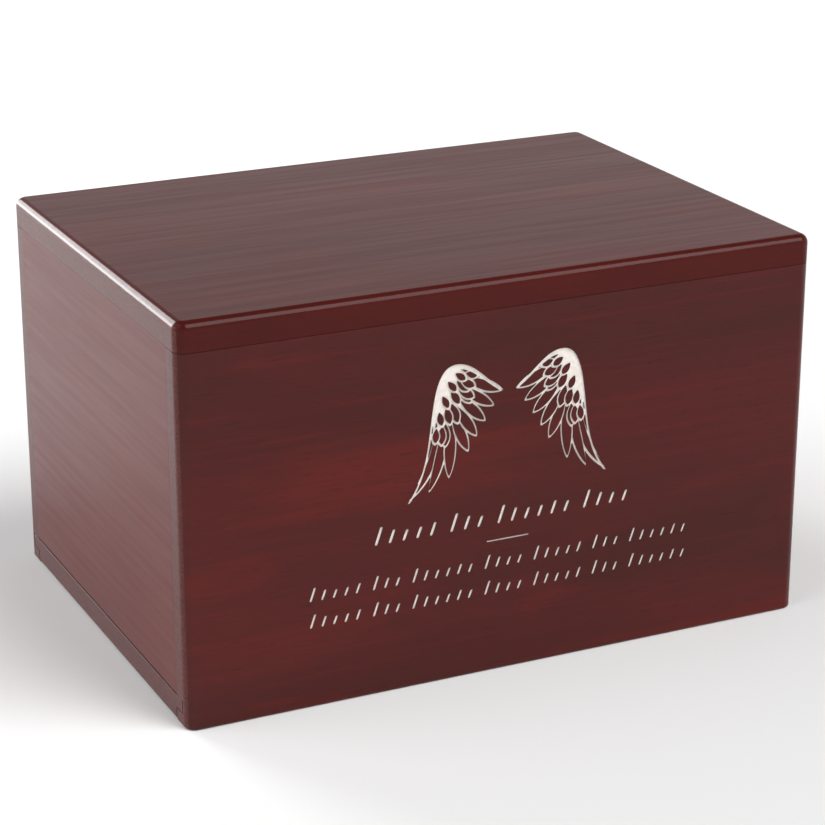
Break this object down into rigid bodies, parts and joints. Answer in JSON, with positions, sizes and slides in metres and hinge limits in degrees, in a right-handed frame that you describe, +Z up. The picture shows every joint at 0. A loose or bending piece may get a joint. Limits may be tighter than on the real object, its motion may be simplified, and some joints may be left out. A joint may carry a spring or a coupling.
{
  "type": "cremation urn box",
  "caption": "Hollow red-brown wooden urn box with eased edges, an engraved front and a tongued bottom panel that slides out at the left end.",
  "frame": {"origin": "middle of the underside of the box", "axes": "+X to the right along the long front, the front faces -Y, +Z up"},
  "size_m": [0.2222, 0.1588, 0.1333],
  "materials": {
    "top_wood": "gloss lacquer over red-brown stain",
    "face_wood": "gloss lacquer over red-brown stain",
    "end_wood": "gloss lacquer over red-brown stain",
    "panel_wood": "satin lacquer over red-brown stain"
  },
  "bodies": {
    "case": {"top_board": "top_wood", "front_board": "face_wood", "rear_board": "face_wood", "left_end_board": "end_wood", "right_end_board": "end_wood"},
    "panel": {"bottom_panel": "panel_wood"}
  },
  "joints": [
    {"name": "panel_slide", "type": "slide", "parent": "case", "child": "panel", "axis": [-1, 0, 0], "range_m": [0, 0.212]}
  ]
}
